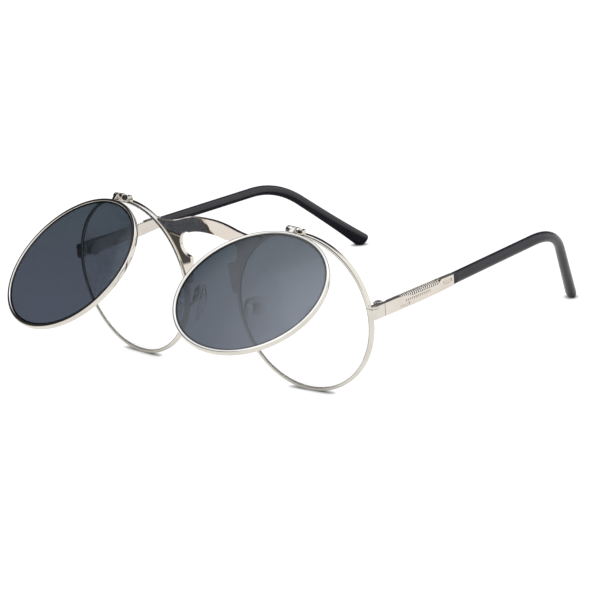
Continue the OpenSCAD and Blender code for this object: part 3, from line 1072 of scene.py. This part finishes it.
def bow(p: Vector, u: Vector, q: Vector, v: Vector, t: float) -> Vector:
    """A smooth curve from p, leaving along u, to q, arriving along v, at share t."""
    return (p * (2 * t ** 3 - 3 * t ** 2 + 1) + u * (t ** 3 - 2 * t ** 2 + t)
            + q * (3 * t ** 2 - 2 * t ** 3) + v * (t ** 3 - t ** 2))


@dataclass
class NosePad:
    """A silicone pad on its bent wire arm."""

    side: Side
    finishes: Finishes
    at: tuple[float, float, float] = (12.2, 5.6, 19.0)
    yaw: float = 52.6
    pitch: float = -16.0
    long: float = 12.6
    wide: float = 7.4
    thick: float = 2.2
    axle: tuple[float, float] = (-2.2, 2.4)
    crown: float = 14.0
    edge_round: float = 0.55
    hollow: float = 0.12
    rows: int = 10
    sides: int = 72
    stem_w: float = 1.0
    stem_eye: float = 0.6
    box_half: float = 1.6
    arm_r: float = 0.45
    arm_foot: float = 13.5
    arm_mid: tuple[float, float, float] = (10.6, 2.9, 23.9)
    arm_gap: float = 0.05
    arm_sides: int = 20

    def frame(self) -> Matrix:
        """Frame of the pad on the wearer's left, in millimetres."""
        place = Vector(self.at) + Vector((0, FRAMES.front_y, 0))
        return Matrix.Translation(place) @ turned(self.yaw, "Z") @ turned(self.pitch, "X")

    def outline(self, angle: float) -> Vector:
        """Point of the pad's outline in a direction from its middle.

        The outline is a large round and a small one, joined by straight flanks.

        Args:
            angle: The direction, in radians.

        Returns:
            The point.
        """
        big, small = self.wide / 2, self.wide / 3
        low, high = -self.long / 2 + big, self.long / 2 - small
        way = Vector((math.cos(angle), math.sin(angle)))
        lean = math.asin((big - small) / (high - low))
        best = 0.0
        for at, r in ((low, big), (high, small)):
            b = way.y * at
            under = b * b - at * at + r * r
            if under >= 0:
                best = max(best, b + math.sqrt(under))
        a = Vector((big * math.cos(lean), low + big * math.sin(lean)))
        b = Vector((small * math.cos(lean), high + small * math.sin(lean)))
        flat = Vector((abs(way.x), way.y))
        cross = flat.x * (b.y - a.y) - flat.y * (b.x - a.x)
        if abs(cross) > 1e-9:
            t = (a.x * (b.y - a.y) - a.y * (b.x - a.x)) / cross
            hit = flat * t
            if t > 0 and a.y <= hit.y <= b.y:
                best = max(best, t)
        return way * best

    def pad_mesh(self) -> bpy.types.Mesh:
        """The pad: crowned towards the nose, hollowed a little behind, with a rounded edge.

        Returns:
            The mesh.
        """
        place = FRAMES.mirrored(self.frame(), self.side)
        rings = []
        for face in (1, -1):
            for j in range(self.rows + 1)[::face]:
                share = j / self.rows
                reach = 0.02 + 0.98 * math.sin(share * math.pi / 2)
                rounding = self.edge_round * (1 - math.cos(share * math.pi / 2)) ** 2.2
                ring = []
                for k in range(self.sides):
                    flat = self.outline(math.tau * k / self.sides) * reach
                    dome = self.thick / 2 - self.crown + math.sqrt(self.crown ** 2 - flat.length ** 2)
                    back = -self.thick / 2 + rounding + self.hollow * (1 - share)
                    ring.append(place @ Vector((flat.x, dome - rounding if face == 1 else back, flat.y)))
                rings.append(ring)
        return loft(rings, self.side.node("pad_shell"), 60)

    def build(self) -> None:
        """Makes the pad and its arm."""
        node, made = self.side.node, self.finishes
        pad = put(node("pad_shell"), self.pad_mesh(), made.silicone)
        stem = put(node("pad_stem"), self.stem_mesh(), made.silicone)
        stem.parent = pad
        seat(pad, node("nose_pad"), node("pad"), Slot.SILICONE)
        seat(put(node("pad_wire"), self.arm_mesh(), made.silver), node("pad_arm"), "front", Slot.SILVER)

    def stem_mesh(self) -> bpy.types.Mesh:
        """The stem behind the pad, round its screw.

        Returns:
            The mesh.
        """
        place = FRAMES.mirrored(self.frame(), self.side)
        half, eye_r = self.stem_w / 2, self.stem_eye
        outline = [(-half, 0.0), (-half, self.axle[0])]
        for degrees in range(-75, 76, 15):
            a = math.radians(degrees)
            outline.append((eye_r * math.sin(a), self.axle[0] - eye_r * math.cos(a)))
        outline += [(half, self.axle[0]), (half, 0.0)]
        rings = []
        for x, slim, inset in ((-0.7, 0.94, 0.03), (-0.62, 1, 0), (0.62, 1, 0), (0.7, 0.94, 0.03)):
            rings.append([place @ Vector((x, y + inset, self.axle[1] + z * slim)) for z, y in outline])
        return loft(rings, self.side.node("pad_stem"), 40)

    def arm_mesh(self) -> bpy.types.Mesh:
        """The bent wire, from the back of the rim over a bow into the box.

        Returns:
            The mesh.
        """
        lens, pad = FRAMES.lens(), self.frame()
        a = math.radians(self.arm_foot)
        foot_r = FRAMES.rim_r - FRAMES.wire_w / 2
        foot = lens @ Vector((-foot_r * math.cos(a), FRAMES.wire_d + self.arm_gap, -foot_r * math.sin(a)))
        foot_way = lens.to_3x3() @ Vector((0, 1, 0)) * 4.5
        end = pad @ Vector((0, self.axle[0] - 0.4, self.axle[1] + self.box_half + self.arm_gap))
        end_way = pad.to_3x3() @ Vector((0, 0, -1)) * 5
        mid, mid_way = Vector(self.arm_mid) + Vector((0, FRAMES.front_y, 0)), Vector((0.6, 3.4, 5))
        line = [bow(foot, foot_way, mid, mid_way, i / 28) for i in range(28)]
        line += [bow(mid, mid_way, end, end_way, i / 28) for i in range(29)]
        rings = sweep(line, Vector((1, 0, 0)), [(self.arm_r, self.arm_r)] * len(line), self.arm_sides)
        placed = [[Vector((q.x * self.side.value, q.y, q.z)) for q in ring] for ring in rings]
        return loft(placed, self.side.node("pad_wire"), 60)


@dataclass
class Bridge:
    """The cut and polished bridge sheet."""

    finishes: Finishes

    def build(self) -> None:
        """Dresses the sheet."""
        Machined("bridge", "front", self.finishes.bridge_silver, 0.12, steps=3).build()


# Studio


@dataclass
class Studio:
    """Pale floor, soft lamps, white surroundings and the camera."""

    # The camera's place, what it looks at, its roll in degrees and its lens
    eye: tuple[float, float, float] = (845.27, -905.61, 407.38)
    target: tuple[float, float, float] = (-68.08, 70.97, -18.65)
    roll: float = -4.04
    lens: float = 239.89
    # Dark cards painted into the floor's reflection only, the floor's own light, and how wide its painted
    # contact shadows and its painted shade in mirrors are
    dark_reflection_patch: tuple[float, float, float] = (-150.0, -115.0, 0.0)
    dark_reflection_patch_r: float = 60.0
    back_dark_reflection_patch: tuple[float, float, float] = (-90.0, 50.0, 0.0)
    back_dark_reflection_patch_r: float = 66.0
    floor_glow: float = 0.88
    contact: float = 1.6
    shade_width: float = 12.0
    # Light of the world on matt surfaces, and what mirrors see: the ceiling's light by height, the
    # window's, where the window begins, and the floor's inside and outside the painted dark cards
    even_light: float = 0.6
    brightest: float = 3.0
    ceiling: tuple[tuple[float, float], ...] = (
        (0.0, 0.7), (0.05, 0.2), (0.32, 0.13), (0.42, 0.03), (0.7, 0.03), (0.77, 0.75), (0.84, 1.05),
        (0.9, 1.65), (0.95, 2.4), (0.963, 0.85))
    window: tuple[float, float, float] = (1.1, 1.09, 1.07)
    window_edge: tuple[float, float] = (-0.1, 0.14)
    in_mirrors: tuple[float, float] = (0.08, 0.97)

    def camera(self) -> None:
        """The camera, at the photograph's viewing angle."""
        data = bpy.data.cameras.new("camera")
        data.lens, data.sensor_width = self.lens, 36
        data.clip_start, data.clip_end = 0.05, 50
        camera = bpy.data.objects.new("camera", data)
        bpy.context.scene.collection.objects.link(camera)
        eye, target = Vector(self.eye) * MM, Vector(self.target) * MM
        ahead = (target - eye).normalized()
        right = ahead.cross(Vector((0, 0, 1))).normalized()
        up = right.cross(ahead)
        a = math.radians(self.roll)
        x = right * math.cos(a) + up * math.sin(a)
        y = up * math.cos(a) - right * math.sin(a)
        turn = Matrix((x, y, -ahead)).transposed().to_4x4()
        camera.matrix_world = Matrix.Translation(eye) @ turn
        bpy.context.scene.camera = camera

    def floor(self) -> None:
        """The floor: plain and pale, white to the eye, with the object's shadow, real on its faint matt part
        and painted into its glow where the object is near.

        Mirrors also see two dark cards on it, a painted reflection that the eye never sees, and painted shade
        round what stands on it.
        """
        mesh = bpy.data.meshes.new("floor")
        w = 6.0
        mesh.from_pydata([(-w, -w, 0), (w, -w, 0), (w, w, 0), (-w, w, 0)], [], [(0, 1, 2, 3)])
        floor = bpy.data.objects.new("floor", mesh)
        bpy.context.scene.collection.objects.link(floor)
        material = bpy.data.materials.new("floor")
        material.use_nodes = True
        material.node_tree.nodes.clear()
        wire = Wiring(material.node_tree)
        place = wire.add("ShaderNodeTexCoord").outputs["Object"]

        def dark_reflection_patch(at: Sequence[float], radius: float) -> Socket:
            """0 inside a round dark card painted into the floor's reflection, 1 outside it."""
            way = wire.add("ShaderNodeVectorMath", "DISTANCE", i0=place, i1=[c * MM for c in at])
            return wire.span(way.outputs["Value"], ((radius - 2) * MM, radius * MM))

        def near(distance: float, samples: int) -> Socket:
            """1 in the open, less where the object is near.

            Args:
                distance: How near, in millimetres.
                samples: How finely it is felt.

            Returns:
                The share.
            """
            node = wire.add("ShaderNodeAmbientOcclusion", Distance=distance * MM)
            node.samples = samples
            return node.outputs["AO"]

        def maths(kind: str, first: Socket, second: object) -> Socket:
            """The result of a Math node."""
            return wire.add("ShaderNodeMath", kind, i0=first, i1=second).outputs[0]

        path = wire.add("ShaderNodeLightPath").outputs
        # Painted reflection: two dark cards that only mirrors see on the floor
        bare = maths("MINIMUM", dark_reflection_patch(self.dark_reflection_patch, self.dark_reflection_patch_r), dark_reflection_patch(self.back_dark_reflection_patch, self.back_dark_reflection_patch_r))
        once = wire.span(path["Glossy Depth"], (1, 2), (1, 0.1))
        # Painted shade in mirrors: the reflected floor darkens where the object is near
        shade = wire.span(near(self.shade_width, 8), (0.3, 1), (0.3, 1))
        shown = maths("MULTIPLY", maths("MULTIPLY", wire.span(bare, (0, 1), self.in_mirrors), once), shade)
        mirrored = wire.add("ShaderNodeEmission", Color=(1, 0.99, 0.975, 1), Strength=shown)
        matt = wire.add("ShaderNodeBsdfDiffuse", Color=(0.88, 0.88, 0.88, 1))
        # Painted contact shadow: the floor's glow fades where the object is near
        glow = maths("MULTIPLY", maths("POWER", near(self.contact, 24), 1.6), self.floor_glow)
        soft = wire.add("ShaderNodeBsdfDiffuse", Color=(0.2, 0.2, 0.2, 1))
        lit = wire.add("ShaderNodeEmission", Strength=glow)
        white = wire.add("ShaderNodeAddShader", i0=soft.outputs[0], i1=lit.outputs[0])
        wire.by_ray(matt, mirrored, white, "ShaderNodeOutputMaterial")
        mesh.materials.append(material)
        floor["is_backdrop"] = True

    def surroundings(self) -> None:
        """The world: white to the eye, even light on matt surfaces, dark walls in mirrors."""
        world = bpy.data.worlds.new("studio")
        bpy.context.scene.world = world
        world.use_nodes = True
        world.node_tree.nodes.clear()
        wire = Wiring(world.node_tree)
        way = wire.add("ShaderNodeTexCoord").outputs["Generated"]
        split = wire.add("ShaderNodeSeparateXYZ", i0=way).outputs
        stops = []
        for at, value in self.ceiling:
            glow, blue = value / self.brightest, min(value, 1.0)
            stops.append((at, (
                glow * (1 - 0.05 * blue), glow * (0.99 + 0.01 * blue), glow * (0.975 + 0.11 * blue))))
        window = [v / self.brightest for v in self.window]
        walls = wire.tint(wire.span(split["X"], self.window_edge), wire.ramp(split["Z"], stops), window)
        room = wire.add("ShaderNodeBackground", Color=walls, Strength=self.brightest)
        even = wire.add("ShaderNodeBackground", Color=(1, 1, 1, 1), Strength=self.even_light)
        white = wire.add("ShaderNodeBackground", Color=(1, 1, 1, 1), Strength=1.0)
        wire.by_ray(even, room, white, "ShaderNodeOutputWorld")

    def lamp(self, name: str, at: Sequence[float], size: float, watts: float) -> None:
        """A soft square lamp, aimed at the object.

        Args:
            name: Its name.
            at: Its place, in metres.
            size: Its width, in metres.
            watts: Its power.
        """
        data = bpy.data.lights.new(name, "AREA")
        data.shape, data.size, data.energy = "SQUARE", size, watts
        lamp = bpy.data.objects.new(name, data)
        lamp.location = at
        lamp.visible_glossy = False
        lamp.rotation_mode = "QUATERNION"
        lamp.rotation_quaternion = (Vector((0, 0, 0.03)) - Vector(at)).to_track_quat("-Z", "Y")
        bpy.context.scene.collection.objects.link(lamp)

    def build(self) -> None:
        """Sets up the whole studio."""
        bpy.context.scene.view_settings.view_transform = "Standard"
        self.camera()
        self.floor()
        self.surroundings()
        self.lamp("top_lamp", (0.1, 0.1, 1.4), 1.2, 12)
        self.lamp("front_lamp", (-0.9, -1.1, 0.9), 0.9, 7)


def main(low: Vector, high: Vector) -> None:
    """Builds the glasses piece by piece.

    Args:
        low: Lowest corner of the solid model; not used.
        high: Highest corner of the solid model; not used.
    """
    logging.basicConfig(level=logging.INFO, format="%(message)s")
    Studio().build()
    finishes = Finishes()
    Bridge(finishes).build()
    for side, lift in ((Side.LEFT, 62.0), (Side.RIGHT, 52.0)):
        Eye(side, finishes).build()
        NosePad(side, finishes).build()
        FlipUp(side, lift, finishes).build()
        LOG.info("%s eye built", side.name.lower())
    tips = {
        Side.LEFT: Tip((62.6, 94.0, 31.5), (48.3, 118.2, 0.8)),
        Side.RIGHT: Tip((60.4, 94.9, 28.8), (51.5, 128.2, 0.8)),
    }
    for side, tip in tips.items():
        SideArm(side, tip, finishes).build()
        LOG.info("%s side built", side.name.lower())


if __name__ == "__main__":
    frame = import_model()
    main(*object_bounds())
